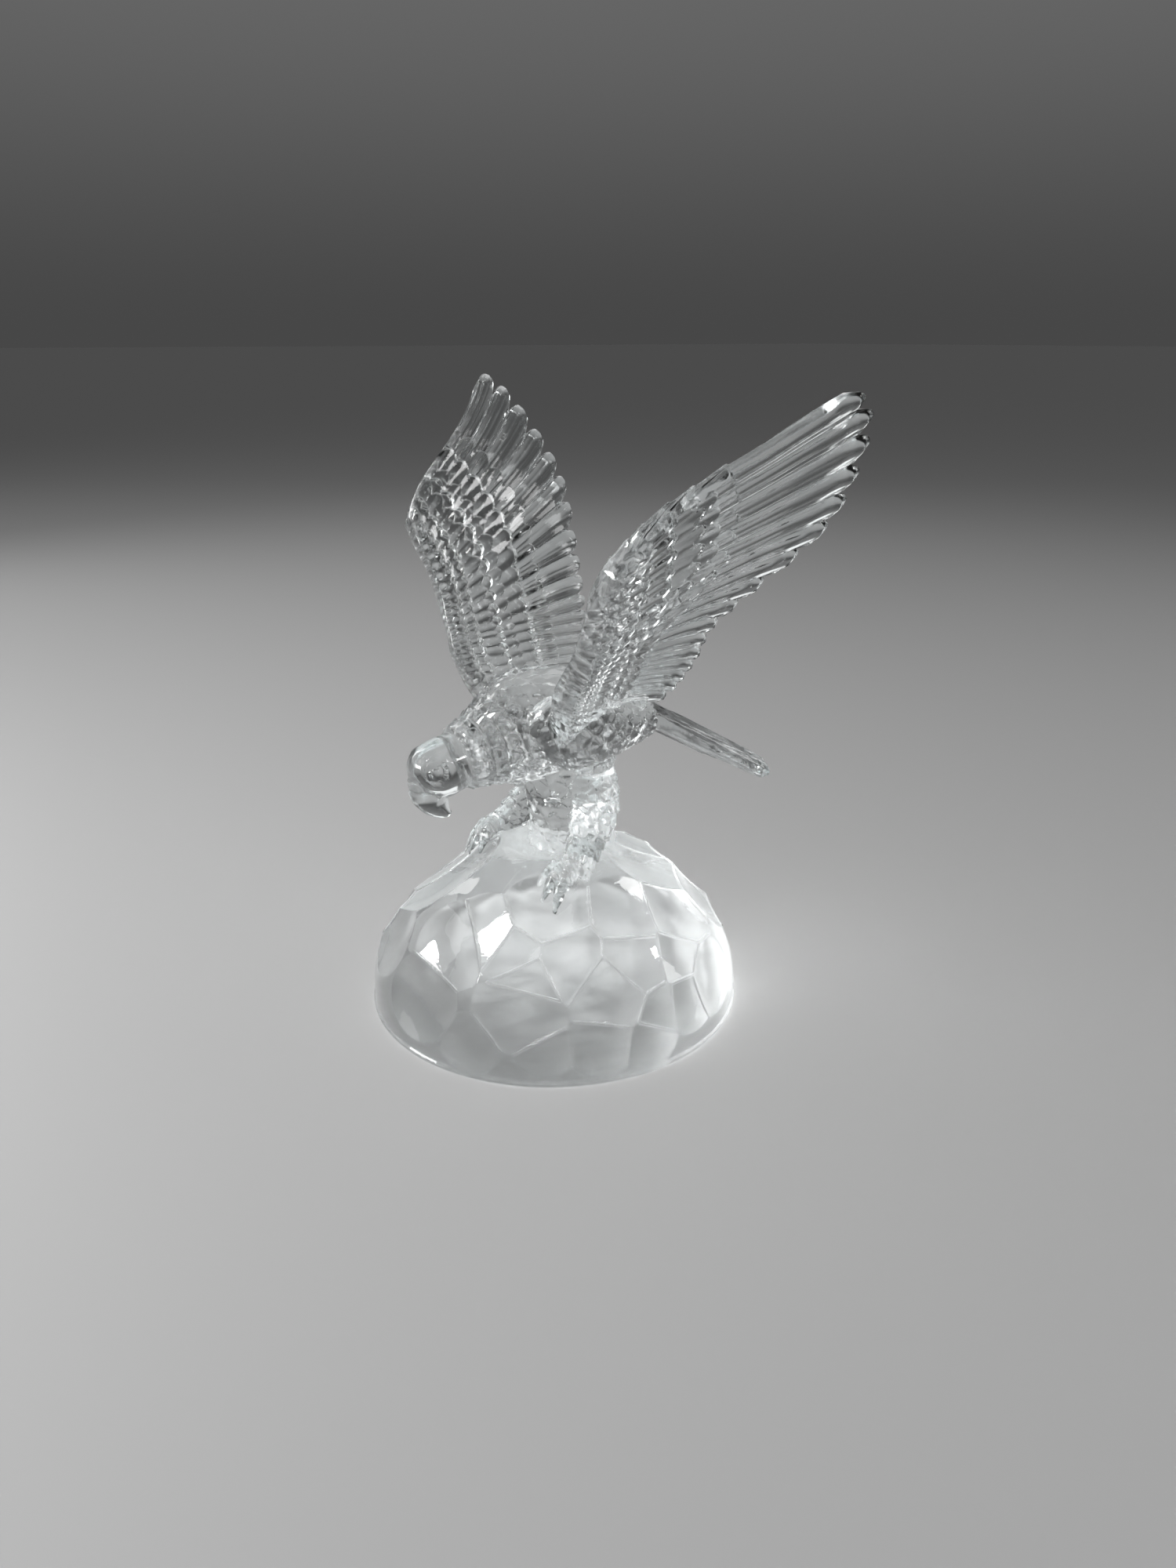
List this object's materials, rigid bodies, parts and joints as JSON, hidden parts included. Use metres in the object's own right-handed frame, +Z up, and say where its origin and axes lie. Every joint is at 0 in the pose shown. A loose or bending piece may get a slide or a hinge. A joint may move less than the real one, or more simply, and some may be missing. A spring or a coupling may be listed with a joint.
{
  "type": "glass bird paperweight",
  "caption": "Clear pressed-glass eagle with raised wings, landing on a faceted, domed glass rock with a flat underside.",
  "frame": {"origin": "centre of the rock's flat underside", "axes": "+Z up, the eagle faces -Y, and its left wing is on +X"},
  "size_m": [0.1194, 0.0965, 0.1281],
  "materials": {
    "clear_glass": "clear, polished and press-moulded"
  },
  "bodies": {
    "root": {"glass_eagle_on_rock": "clear_glass"}
  },
  "joints": []
}
